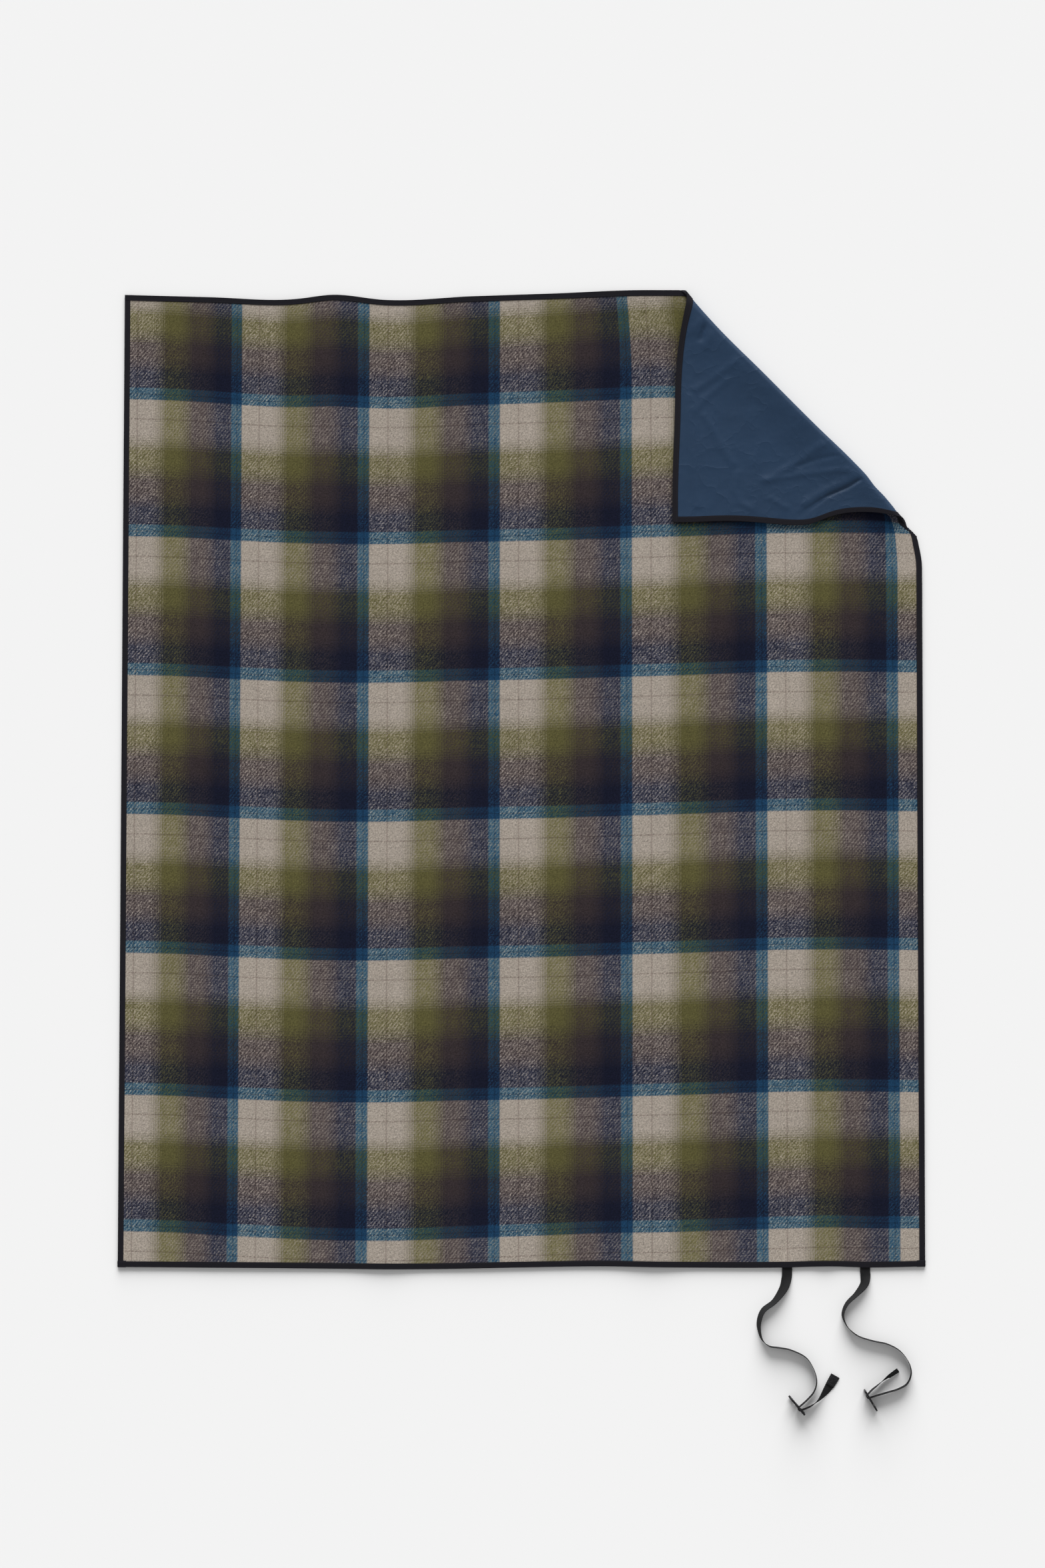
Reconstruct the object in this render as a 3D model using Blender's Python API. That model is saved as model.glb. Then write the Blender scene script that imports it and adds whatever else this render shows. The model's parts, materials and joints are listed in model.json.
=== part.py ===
"""Camp blanket: plaid wool over a nylon backing, bound all round, with two buckled webbing straps.

It lies open on the ground with one corner folded back. Units are metres: +X runs along the strap
edge, +Y away from that edge and +Z up. The origin is on the ground below the blanket's middle.
"""
import math

import bmesh
import bpy
from mathutils import Matrix, Vector

# Driving dimensions of the blanket.
WIDTH = 1.524                # along the strap edge
LENGTH = 1.844               # from the strap edge to the far edge
WOOL = 0.0024                # thickness of the plaid cloth
NYLON = 0.0006               # thickness of the coated backing
TAPE = 0.0007                # thickness of the binding tape
TAPE_FACE = 0.010            # how far the binding covers each face
GAP = 0.0003                 # air between neighbouring pieces

# Layers, counted up from the ground.
NYLON_Z = TAPE + GAP
WOOL_Z = NYLON_Z + NYLON + GAP
STACK = WOOL_Z + WOOL + GAP + TAPE
CLOTH_INSET = TAPE + GAP     # from the outer edge to the cloth inside the binding
MITRE_CLEARANCE = 0.7 * GAP  # along an edge, for one gap between two 45 degree faces

# The folded corner: where its fold leaves the two edges, and how tightly the cloth turns.
FOLD_ALONG_TOP = 0.432       # from the corner, along the far edge
FOLD_ALONG_SIDE = 0.469      # from the corner, along the right edge
FOLD_RADIUS = 0.006          # of the middle of the cloth
HINGE_Z = STACK / 2 + FOLD_RADIUS
FOLD_CLEARANCE = GAP / 2     # from the fold line to the solids on either side of it

# Webbing and its folded hem.
WEB_WIDTH = 0.019
WEB_THICK = 0.0012
HEM = 0.022
ROUTE_STEP = 0.010

# Buckle: the male half of a side-release buckle with one webbing bar. Its own X runs from the
# bar to the arms' tips, and its own Y across the webbing. It stands on one rail.
RAIL = 0.003
BUCKLE_THICK = 0.0036
BUCKLE_HALF = WEB_WIDTH / 2 + GAP + RAIL
BAR_HALF = 0.0017
FRONT_BAR = (0.008, 0.012)
BACK_BAR = (-0.0137, -0.0102)
ARM_THICK = 0.0033
ARM_ROOT_Y = 0.008
TONGUE = (0.026, 0.0025)     # tip and half width of the middle guide
CORNER_RADIUS = 0.002
LOOP_RADIUS = 0.0033         # of the webbing's middle, round the bar

# Each strap's hand-laid route: x, y, lean in degrees (0 flat, 90 on edge), and lift off the ground.
EDGE_Y = -LENGTH / 2 - GAP
BUCKLE_LIFT = RAIL + GAP
LEFT_STRAP = {
    "bar": (0.5248, -1.1866),
    "angle": 130.4,
    "arrives": 137.0,
    "leaves": 293.0,
    "run": [
        (0.5015, EDGE_Y, 0, 0.0020), (0.5015, -0.9300, 0, 0.0020), (0.5005, -0.9420, 8, 0.0006),
        (0.4945, -0.9610, 35, 0), (0.4770, -0.9850, 62, 0), (0.4560, -1.0020, 64, 0), (0.4480, -1.0240, 66, 0),
        (0.4497, -1.0452, 76, 0), (0.4560, -1.0600, 84, 0), (0.4690, -1.0695, 90, 0),
        (0.4877, -1.0722, 90, 0), (0.5090, -1.0766, 90, 0), (0.5360, -1.0900, 90, 0),
        (0.5506, -1.1106, 90, 0), (0.5569, -1.1340, 90, 0.0004), (0.5520, -1.1540, 90, 0.0020),
        (0.5380, -1.1705, 90, BUCKLE_LIFT),
    ],
    "tail": [
        (0.5390, -1.1849, 90, BUCKLE_LIFT), (0.5490, -1.1795, 86, BUCKLE_LIFT),
        (0.5620, -1.1695, 68, 0.0010), (0.5750, -1.1535, 38, 0), (0.5850, -1.1385, 18, 0),
        (0.5927, -1.1255, 12, 0),
    ],
}
RIGHT_STRAP = {
    "bar": (0.6540, -1.1632),
    "angle": -58.9,
    "arrives": 280.8,
    "leaves": 139.8,
    "run": [
        (0.6488, EDGE_Y, 0, 0.0020), (0.6488, -0.9300, 0, 0.0020), (0.6494, -0.9380, 10, 0.0006),
        (0.6465, -0.9530, 40, 0), (0.6320, -0.9710, 66, 0), (0.6140, -0.9890, 74, 0), (0.6063, -1.0090, 80, 0),
        (0.6120, -1.0280, 86, 0), (0.6240, -1.0420, 90, 0), (0.6400, -1.0520, 90, 0),
        (0.6650, -1.0595, 90, 0), (0.6909, -1.0653, 90, 0), (0.7140, -1.0780, 90, 0),
        (0.7300, -1.0985, 90, 0), (0.7352, -1.1194, 90, 0), (0.7280, -1.1390, 90, 0),
        (0.7110, -1.1495, 90, 0.0010), (0.6900, -1.1558, 90, 0.0026),
        (0.6720, -1.1610, 90, BUCKLE_LIFT),
    ],
    "tail": [
        (0.6600, -1.1517, 90, BUCKLE_LIFT), (0.6680, -1.1450, 88, BUCKLE_LIFT),
        (0.6800, -1.1355, 80, 0.0010), (0.6920, -1.1265, 66, 0), (0.7020, -1.1195, 60, 0),
        (0.7104, -1.1140, 58, 0),
    ],
}
LOOP_STEPS = 6

# Name: colour, roughness.
MATERIALS = {
    "wool": ((0.32, 0.27, 0.20), 0.95),
    "nylon": ((0.02, 0.05, 0.11), 0.55),
    "tape": ((0.012, 0.012, 0.016), 0.85),
    "webbing": ((0.014, 0.014, 0.016), 0.8),
    "buckle": ((0.010, 0.010, 0.012), 0.4),
}


def start_clean():
    for obj in list(bpy.data.objects):
        bpy.data.objects.remove(obj, do_unlink=True)
    collections = []
    for name in ("camp_blanket", "guides"):
        collection = bpy.data.collections.new(name)
        bpy.context.scene.collection.children.link(collection)
        collections.append(collection)
    return collections


def make_material(name):
    colour, roughness = MATERIALS[name]
    material = bpy.data.materials.new(name)
    material.use_nodes = True
    shader = material.node_tree.nodes["Principled BSDF"]
    shader.inputs["Base Color"].default_value = (*colour, 1)
    shader.inputs["Roughness"].default_value = roughness
    shader.inputs["Metallic"].default_value = 0
    return material


def add_object(name, data, collection, material=None):
    obj = bpy.data.objects.new(name, data)
    collection.objects.link(obj)
    if material:
        data.materials.append(make_material(material))
    return obj


def add_empty(name, collection, location, turn_z):
    empty = add_object(name, None, collection)
    empty.location = location
    empty.rotation_euler = (0, 0, turn_z)
    return empty


def add_outline(curve, points):
    """One closed polygon, from points in the curve's own plane."""
    spline = curve.splines.new("POLY")
    spline.points.add(len(points) - 1)
    for spline_point, (x, y) in zip(spline.points, points):
        spline_point.co = (x, y, 0, 1)
    spline.use_cyclic_u = True


def add_plate(name, outlines, thickness, collection, material):
    """A flat piece: an outer outline, and any holes after it."""
    curve = bpy.data.curves.new(name, "CURVE")
    curve.dimensions = "2D"
    curve.fill_mode = "BOTH"
    curve.extrude = thickness / 2
    for points in outlines:
        add_outline(curve, points)
    return add_object(name, curve, collection, material)


# The cloth, its binding and the folded corner.

def fold_directions():
    """Unit vectors along the fold, from the far edge to the side, and across it to the corner."""
    along = Vector((FOLD_ALONG_TOP, -FOLD_ALONG_SIDE)).normalized()
    return along, Vector((-along.y, along.x))


def crossing(offset, x=None, y=None):
    """Where the line beside the fold, offset towards the corner, crosses a given x or y."""
    along, across = fold_directions()
    start = Vector((WIDTH / 2 - FOLD_ALONG_TOP, LENGTH / 2)) + across * offset
    reach = (x - start.x) / along.x if y is None else (y - start.y) / along.y
    return start + along * reach


def cloth_outline(is_corner):
    """The cloth inside the binding: either the folded corner, laid open, or all the rest."""
    x = WIDTH / 2 - CLOTH_INSET
    y = LENGTH / 2 - CLOTH_INSET
    offset = FOLD_CLEARANCE if is_corner else -FOLD_CLEARANCE
    on_side = crossing(offset, x=x)
    on_top = crossing(offset, y=y)
    if is_corner:
        return [on_side, (x, y), on_top]
    return [(-x, -y), (x, -y), on_side, on_top, (-x, y)]


def add_cloth(name, is_corner, bottom, thickness, collection, material):
    cloth = add_plate(name, [cloth_outline(is_corner)], thickness, collection, material)
    cloth.location.z = bottom + thickness / 2
    return cloth


def binding_profile():
    """The folded tape's section as (depth from the outer edge, height)."""
    inner_top = STACK - TAPE
    return [(0, 0), (TAPE_FACE, 0), (TAPE_FACE, TAPE), (TAPE, TAPE),
            (TAPE, inner_top), (TAPE_FACE, inner_top), (TAPE_FACE, STACK), (0, STACK)]


def add_binding(name, start, start_slant, end, end_slant, collection):
    """Tape along one edge. A slant is how an end face runs inwards, per unit of depth."""
    mesh = bpy.data.meshes.new(name)
    shape = bmesh.new()
    rings = []
    for point, slant in ((start, start_slant), (end, end_slant)):
        rings.append([shape.verts.new((*(point + slant * depth), height))
                      for depth, height in binding_profile()])
    count = len(rings[0])
    for i in range(count):
        j = (i + 1) % count
        shape.faces.new((rings[0][i], rings[1][i], rings[1][j], rings[0][j]))
    shape.faces.new(rings[0])
    shape.faces.new(rings[1])
    bmesh.ops.recalc_face_normals(shape, faces=shape.faces)
    shape.to_mesh(mesh)
    shape.free()
    return add_object(name, mesh, collection, "tape")


def add_bindings(collection):
    """The six strips. Returns the two on the corner."""
    x, y = WIDTH / 2, LENGTH / 2
    along, _ = fold_directions()
    top_slant = along / -along.y
    side_slant = -along / along.x
    step_x = Vector((MITRE_CLEARANCE, 0))
    step_y = Vector((0, MITRE_CLEARANCE))
    corners = {}
    for sign_x in (-1, 1):
        for sign_y in (-1, 1):
            corners[sign_x, sign_y] = Vector((sign_x * x, sign_y * y))
    inward = {key: Vector((-key[0], -key[1])) for key in corners}

    add_binding("binding_left", corners[-1, -1] + step_y, inward[-1, -1],
                corners[-1, 1] - step_y, inward[-1, 1], collection)
    add_binding("binding_strap_edge", corners[-1, -1] + step_x, inward[-1, -1],
                corners[1, -1] - step_x, inward[1, -1], collection)
    add_binding("binding_far_edge", corners[-1, 1] + step_x, inward[-1, 1],
                crossing(-FOLD_CLEARANCE, y=y), top_slant, collection)
    add_binding("binding_right", corners[1, -1] + step_y, inward[1, -1],
                crossing(-FOLD_CLEARANCE, x=x), side_slant, collection)
    corner_far = add_binding("corner_binding_far_edge", crossing(FOLD_CLEARANCE, y=y), top_slant,
                             corners[1, 1] - step_x, inward[1, 1], collection)
    corner_right = add_binding("corner_binding_right", crossing(FOLD_CLEARANCE, x=x), side_slant,
                               corners[1, 1] - step_y, inward[1, 1], collection)
    return [corner_far, corner_right]


def fold_corner(pieces, collection):
    """Hang the corner's pieces on a hinge along the fold, and turn it over onto the blanket."""
    along, _ = fold_directions()
    start = Vector((WIDTH / 2 - FOLD_ALONG_TOP, LENGTH / 2, HINGE_Z))
    hinge = add_empty("corner_hinge", collection, start, math.atan2(along.y, along.x))
    laid_open = Matrix.LocRotScale(hinge.location, hinge.rotation_euler, None)
    for piece in pieces:
        piece.parent = hinge
        piece.matrix_parent_inverse = laid_open.inverted()
    hinge.rotation_euler.x = math.pi


def build_blanket(collection):
    add_cloth("wool_face", False, WOOL_Z, WOOL, collection, "wool")
    add_cloth("nylon_backing", False, NYLON_Z, NYLON, collection, "nylon")
    corner = [
        add_cloth("corner_wool_face", True, WOOL_Z, WOOL, collection, "wool"),
        add_cloth("corner_nylon_backing", True, NYLON_Z, NYLON, collection, "nylon"),
    ]
    corner += add_bindings(collection)
    fold_corner(corner, collection)


# The straps.

def smooth_route(points):
    """Points every ROUTE_STEP or closer on a Catmull-Rom curve through the laid points."""
    laid = [Vector(point) for point in points]
    padded = [2 * laid[0] - laid[1]] + laid + [2 * laid[-1] - laid[-2]]
    route = [laid[0]]
    for a, b, c, d in zip(padded, padded[1:], padded[2:], padded[3:]):
        steps = max(1, round((c - b).xy.length / ROUTE_STEP))
        for i in range(1, steps + 1):
            t = i / steps
            route.append(0.5 * (2 * b + (c - a) * t + (2 * a - 5 * b + 4 * c - d) * t ** 2
                                + (3 * b - a - 3 * c + d) * t ** 3))
    return route


def loop_round_bar(strap):
    """The webbing's turn round the buckle's bar, as laid points."""
    turn = []
    for i in range(LOOP_STEPS + 1):
        share = i / LOOP_STEPS
        angle = math.radians(strap["arrives"] + share * (strap["leaves"] - strap["arrives"]))
        turn.append((strap["bar"][0] + LOOP_RADIUS * math.cos(angle),
                     strap["bar"][1] + LOOP_RADIUS * math.sin(angle), 90, BUCKLE_LIFT))
    return turn


def centre_height(lean, lift):
    """How high the webbing's middle is when its lower edge is lifted off the ground by lift."""
    angle = math.radians(lean)
    return lift + (WEB_WIDTH * math.sin(angle) + WEB_THICK * math.cos(angle)) / 2


def face_normal(ahead, lean):
    """The direction that the webbing's face looks in, where it runs along ahead."""
    angle = math.radians(lean)
    side = Vector((-ahead.y, ahead.x, 0)).normalized()
    return Vector((0, 0, math.cos(angle))) - side * math.sin(angle)


def add_webbing_profile(guides):
    curve = bpy.data.curves.new("webbing_profile", "CURVE")
    curve.dimensions = "2D"
    x, y = WEB_WIDTH / 2, WEB_THICK / 2
    add_outline(curve, [(-x, -y), (-x, y), (x, y), (x, -y)])
    profile = add_object("webbing_profile", curve, guides)
    profile.hide_render = True
    profile.display_type = "WIRE"
    return profile


def add_webbing(name, centres, leans, profile, collection):
    curve = bpy.data.curves.new(name, "CURVE")
    curve.dimensions = "3D"
    curve.twist_mode = "Z_UP"
    curve.bevel_mode = "OBJECT"
    curve.bevel_object = profile
    curve.use_fill_caps = True
    spline = curve.splines.new("POLY")
    spline.points.add(len(centres) - 1)
    for point, centre, lean in zip(spline.points, centres, leans):
        point.co = (*centre, 1)
        point.tilt = math.radians(lean)
    return add_object(name, curve, collection, "webbing")


def hem_start(centres):
    """The index of the point where the tail's hem starts, counting back from its end."""
    index = len(centres) - 1
    length = 0
    while length < HEM:
        length += (centres[index] - centres[index - 1]).length
        index -= 1
    return index


def add_strap(name, strap, profile, collection):
    """One strap from the blanket's edge, round the buckle's bar and back to its hemmed tail."""
    route = smooth_route(strap["run"] + loop_round_bar(strap) + strap["tail"])
    centres = [Vector((x, y, centre_height(lean, lift))) for x, y, lean, lift in route]
    leans = [point[2] for point in route]
    add_webbing(name, centres, leans, profile, collection)

    normals = [face_normal(b - a, lean) for a, b, lean in zip(centres, centres[1:], leans)]
    first = hem_start(centres)
    hem_centres = [centre + normal * (WEB_THICK + GAP)
                   for centre, normal in zip(centres[first:], normals[first - 1:])]
    add_webbing(name + "_hem", hem_centres, leans[first:], profile, collection)


# The buckles.

def rounded_box(x0, x1, y0, y1, radius):
    """A rectangle with round corners, as points."""
    steps = 4
    points = []
    centres = [(x1 - radius, y1 - radius, 0), (x0 + radius, y1 - radius, 90),
               (x0 + radius, y0 + radius, 180), (x1 - radius, y0 + radius, 270)]
    for x, y, start in centres:
        for i in range(steps + 1):
            angle = math.radians(start + 90 * i / steps)
            points.append((x + radius * math.cos(angle), y + radius * math.sin(angle)))
    return points


def frame_outline():
    """The frame's outer outline, with the guide tongue at its front."""
    tip, half = TONGUE
    body = rounded_box(BACK_BAR[0], FRONT_BAR[1], -BUCKLE_HALF, BUCKLE_HALF, CORNER_RADIUS)
    tongue = [(FRONT_BAR[1], -half), (tip - half, -half), (tip, -half / 2),
              (tip, half / 2), (tip - half, half), (FRONT_BAR[1], half)]
    return body + tongue


def arm_outline(side):
    """One springy arm, from its root at the frame to its tip, round its own root."""
    outline = [(GAP, -0.0018), (0.009, -0.0022), (0.0165, -0.0034), (0.0187, -0.0020),
               (0.0190, 0.0004), (0.0165, 0.0026), (0.0130, 0.0042), (0.0085, 0.0044),
               (0.0050, 0.0030), (0.0030, 0.0018), (GAP, 0.0016)]
    return [(x, side * y) for x, y in outline]


def add_buckle(name, strap, collection):
    pivot = (*strap["bar"], BUCKLE_HALF)
    swivel = add_empty(name + "_swivel", collection, pivot, math.radians(strap["angle"]))
    slot_half = BUCKLE_HALF - RAIL
    front_slot = rounded_box(BAR_HALF, FRONT_BAR[0], -slot_half, slot_half, CORNER_RADIUS / 4)
    back_slot = rounded_box(BACK_BAR[1], -BAR_HALF, -slot_half, slot_half, CORNER_RADIUS / 4)
    frame = add_plate(name + "_frame", [frame_outline(), front_slot, back_slot],
                      BUCKLE_THICK, collection, "buckle")
    frame.parent = swivel
    frame.rotation_euler.x = math.pi / 2
    for side, label in ((1, "upper"), (-1, "lower")):
        arm = add_plate(f"{name}_{label}_arm", [arm_outline(side)], ARM_THICK, collection, "buckle")
        arm.parent = swivel
        arm.location = (FRONT_BAR[1], 0, side * ARM_ROOT_Y)
        arm.rotation_euler.x = math.pi / 2


def main():
    collection, guides = start_clean()
    build_blanket(collection)
    profile = add_webbing_profile(guides)
    for side, strap in (("left", LEFT_STRAP), ("right", RIGHT_STRAP)):
        add_strap(side + "_strap", strap, profile, collection)
        add_buckle(side + "_buckle", strap, collection)


main()
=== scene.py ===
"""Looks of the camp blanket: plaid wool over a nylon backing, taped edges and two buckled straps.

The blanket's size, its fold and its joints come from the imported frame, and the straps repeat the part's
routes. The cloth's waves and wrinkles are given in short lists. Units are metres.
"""
import json
import math

import bmesh
import bpy
import numpy as np
from mathutils import Matrix, Vector


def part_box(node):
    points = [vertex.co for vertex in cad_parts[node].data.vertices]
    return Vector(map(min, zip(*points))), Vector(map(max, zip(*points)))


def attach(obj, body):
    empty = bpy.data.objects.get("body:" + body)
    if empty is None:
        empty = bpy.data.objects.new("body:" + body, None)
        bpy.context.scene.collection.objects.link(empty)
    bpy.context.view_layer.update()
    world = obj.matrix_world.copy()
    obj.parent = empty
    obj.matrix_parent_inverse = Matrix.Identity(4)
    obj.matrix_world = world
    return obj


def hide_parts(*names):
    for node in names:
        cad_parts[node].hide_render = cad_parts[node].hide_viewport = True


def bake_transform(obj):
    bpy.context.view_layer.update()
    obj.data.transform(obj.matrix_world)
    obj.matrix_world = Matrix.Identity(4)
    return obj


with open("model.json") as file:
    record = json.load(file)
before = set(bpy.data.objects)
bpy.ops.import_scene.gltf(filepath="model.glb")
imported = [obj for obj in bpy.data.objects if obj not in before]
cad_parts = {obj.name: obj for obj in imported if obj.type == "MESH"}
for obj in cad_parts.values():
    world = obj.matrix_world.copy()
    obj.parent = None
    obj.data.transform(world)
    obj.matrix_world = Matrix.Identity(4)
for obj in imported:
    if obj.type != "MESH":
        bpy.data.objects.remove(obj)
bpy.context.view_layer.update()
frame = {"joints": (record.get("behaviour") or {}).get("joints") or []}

JOINTS = {joint["name"]: joint for joint in frame["joints"]}

# The cloth as cut, and the line that its corner folds on.
HALF_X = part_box("binding_right")[1].x
HALF_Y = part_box("binding_far_edge")[1].y
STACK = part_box("binding_left")[1].z
HINGE = np.array(JOINTS["corner_fold"]["pos_m"])
ALONG = -np.array(JOINTS["corner_fold"]["axis"])[:2]
ACROSS = np.array([-ALONG[1], ALONG[0]])
FOLD_START = HINGE[:2] + ALONG * (HALF_Y - HINGE[1]) / ALONG[1]
FOLD_LENGTH = (HALF_X - FOLD_START[0]) / ALONG[0]

# Layers, as heights above the surface where wool and nylon meet.
MEETING_Z = 0.00175
WOOL = 0.0024
NYLON = 0.0006
WOOL_MID = 0.00135
NYLON_MID = -0.00045
TAPE_MID = STACK / 2 - MEETING_Z
TAPE_FACE = 0.0108
TUCK = 0.001                 # how far the cloth stops short of the tape's outer edge
UNDERLAP = 0.0003            # how much thinner the side tapes are, so that the other two cover their ends
END_PROUD = 0.0006           # how far the tape folded round each near corner stands proud
END_LENGTH = 0.016

# The cloth's grid: away from the corner, on it, and at the fold's right end.
GRID = 0.012
CORNER_GRID = 0.004
TURNED_END_GRID = 0.0025
TURN_EDGES = 0.0014          # apart, beside the fold line

# The fold's soft turn.
ROLL = 0.0069                # radius, at the surface where wool and nylon meet
FLAP_REST = 0.0067           # how high the corner lies above the cloth under it
SETTLE = 0.022               # how quickly it sinks to that height
QUARTER = math.pi / 2
GATHER = 0.20                # how far before the turn the cloth starts to gather, at the fold's start
GATHER_DROP = 0.175          # and how much less that is at its right end

# A low slanting plane between the cloth on the ground and the turned corner: its height at the fold's
# start, and its slopes.
PARTING = (0.0048, 0.004, 0.0045)

# Laid along the fold: how far, then how much the turn stands off the fold line, across and along it,
# and how far past that line the cloth turns.
LIP = [(0.0, -0.0164, -0.0125, 0.0), (0.03, -0.018, -0.006, 0.0), (0.07, -0.0185, -0.001, 0.0),
       (0.20, -0.013, 0.0, 0.0), (0.344, -0.007, 0.0, 0.0), (0.44, -0.0015, 0.0, 0.0),
       (0.475, -0.0010, -0.001, 0.002), (0.505, -0.0035, -0.005, 0.009), (0.535, -0.0030, -0.010, 0.018),
       (0.565, -0.0040, -0.0165, 0.027), (0.5994, -0.0058, -0.0215, 0.033), (0.618, -0.0030, -0.0180, 0.0295),
       (0.64, -0.0020, -0.0145, 0.023), (0.66, -0.0020, -0.010, 0.018)]
# Laid on the corner's edges and fold: cloth s and t, then how far it lies from a straight fold.
NUDGES = [(0.357, 0.922, -0.020, -0.010), (0.445, 0.922, -0.0267, -0.010), (0.51, 0.922, -0.025, -0.009),
          (0.607, 0.922, -0.0197, -0.008), (0.6875, 0.922, -0.0156, -0.007),
          (0.762, 0.922, -0.0095, -0.0063), (0.762, 0.776, -0.004, 0.0056), (0.762, 0.64, -0.0085, 0.021),
          (0.762, 0.572, -0.009, 0.041), (0.762, 0.53, 0.0037, 0.0406), (0.762, 0.505, 0.0053, 0.0363),
          (0.4655, 0.7749, -0.0066, -0.0061), (0.563, 0.669, -0.002, -0.002), (0.648, 0.576, 0.002, 0.002)]
# Laid along the far edge: x, then how far the edge lies from straight.
FAR_EDGE = [(-0.77, -0.008), (-0.60, -0.0125), (-0.437, -0.0165), (-0.363, -0.008), (-0.26, -0.018),
            (-0.096, -0.011), (0.05, -0.006), (0.20, -0.001), (0.27, 0.002), (0.33, 0.0), (0.77, 0.0)]
# Laid up the right edge: y, then how far the edge is drawn in, across and up.
RIGHT_EDGE = [(-0.93, 0.0, 0.0), (0.30, 0.0, 0.0), (0.38, 0.0, 0.0), (0.41, -0.0005, 0.0),
              (0.442, -0.006, -0.0006), (0.463, -0.0110, -0.0005), (0.476, -0.0175, -0.0020),
              (0.503, -0.036, -0.009), (0.52, -0.046, -0.0130), (0.56, -0.05, -0.0143),
              (0.93, -0.05, -0.0143)]
# Laid along the strap edge: x, then how far the edge lies from straight.
STRAP_EDGE = [(-0.77, 0.002), (-0.50, 0.0), (-0.15, -0.002), (0.0, 0.001), (0.15, 0.003), (0.30, 0.001),
              (0.50, 0.001), (0.58, 0.003), (0.65, 0.001), (0.77, 0.003)]

# Soft folds in the plaid: two ends, half width, height.
RIPPLES = [
    (-0.437, 0.93, -0.43, 0.70, 0.030, 0.0022), (-0.26, 0.93, -0.25, 0.62, 0.030, 0.0024),
    (-0.10, 0.93, -0.12, 0.74, 0.034, 0.0016), (-0.62, 0.50, -0.60, 0.05, 0.045, 0.0020),
    (0.40, 0.36, 0.47, 0.10, 0.026, 0.0026), (0.50, 0.33, 0.53, 0.06, 0.022, 0.0030),
    (0.58, 0.34, 0.62, 0.12, 0.024, 0.0026), (0.47, 0.12, 0.60, -0.12, 0.028, 0.0034),
    (0.66, 0.30, 0.58, 0.02, 0.022, 0.0026), (-0.35, 0.30, -0.36, -0.30, 0.060, 0.0024),
    (0.10, 0.20, 0.12, -0.45, 0.070, 0.0026), (-0.10, -0.10, -0.06, -0.70, 0.060, 0.0030),
    (0.38, -0.20, 0.36, -0.75, 0.060, 0.0032), (-0.60, -0.30, -0.58, -0.85, 0.050, 0.0030),
    (-0.26, -0.96, -0.25, -0.80, 0.050, 0.0030), (0.25, -0.96, 0.24, -0.78, 0.050, 0.0030),
    (0.575, -0.95, 0.57, -0.84, 0.022, 0.0026), (0.5015, -0.93, 0.5015, -0.905, 0.010, 0.0012),
    (0.6488, -0.93, 0.6488, -0.905, 0.010, 0.0012),
]
# Wrinkles in the turned-over backing: a laid line, half width, height.
WRINKLES = [
    ([(0.656, 0.576), (0.6177, 0.5519), (0.5758, 0.5330), (0.5422, 0.5099), (0.525, 0.497)], 0.0030, -0.0024),
    ([(0.648, 0.590), (0.612, 0.561), (0.570, 0.543), (0.535, 0.520)], 0.008, 0.0013),
    ([(0.352, 0.870), (0.3367, 0.8287)], 0.0030, -0.0034), ([(0.366, 0.858), (0.347, 0.815)], 0.006, 0.0012),
    ([(0.338, 0.872), (0.325, 0.845)], 0.005, 0.0010),
    ([(0.404, 0.787), (0.365, 0.758), (0.328, 0.736)], 0.0065, 0.0009),
    ([(0.388, 0.752), (0.350, 0.722), (0.328, 0.694)], 0.0060, 0.0009),
    ([(0.345, 0.686), (0.374, 0.636), (0.400, 0.594)], 0.0065, 0.0010),
    ([(0.567, 0.632), (0.500, 0.585), (0.458, 0.564)], 0.0075, 0.0011),
    ([(0.626, 0.585), (0.542, 0.577), (0.467, 0.564)], 0.0060, 0.0009),
    ([(0.600, 0.612), (0.560, 0.604), (0.520, 0.590)], 0.0035, -0.0010),
    ([(0.316, 0.720), (0.318, 0.640), (0.322, 0.577), (0.332, 0.518)], 0.0075, 0.0009),
    ([(0.408, 0.577), (0.403, 0.545), (0.412, 0.522), (0.432, 0.512)], 0.0060, 0.0009),
    ([(0.430, 0.690), (0.450, 0.640), (0.440, 0.600)], 0.012, 0.0007),
    ([(0.370, 0.519), (0.359, 0.500)], 0.0035, -0.0012), ([(0.470, 0.530), (0.500, 0.512)], 0.0055, 0.0008),
]

# Webbing and buckles.
WEB_WIDTH = 0.019
WEB_THICK = 0.0012
HEM = 0.022
GAP = 0.0003
RAIL = 0.003
BUCKLE_THICK = 0.0036
BUCKLE_HALF = WEB_WIDTH / 2 + GAP + RAIL
BAR_HALF = 0.0017
FRONT_BAR = (0.008, 0.012)
BACK_BAR = (-0.0137, -0.0102)
ARM_THICK = 0.0033
ARM_ROOT_Y = 0.008
TONGUE = (0.026, 0.0025)
LOOP_RADIUS = 0.0033
LOOP_STEPS = 6
ROUTE_STEP = 0.0025
SEWN_IN = (0.0022, 0.0011)   # how far the strap's first points are inside the binding
STITCH_PITCH = 0.0026
EDGE_Y = -HALF_Y - GAP
BUCKLE_LIFT = RAIL + GAP

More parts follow.
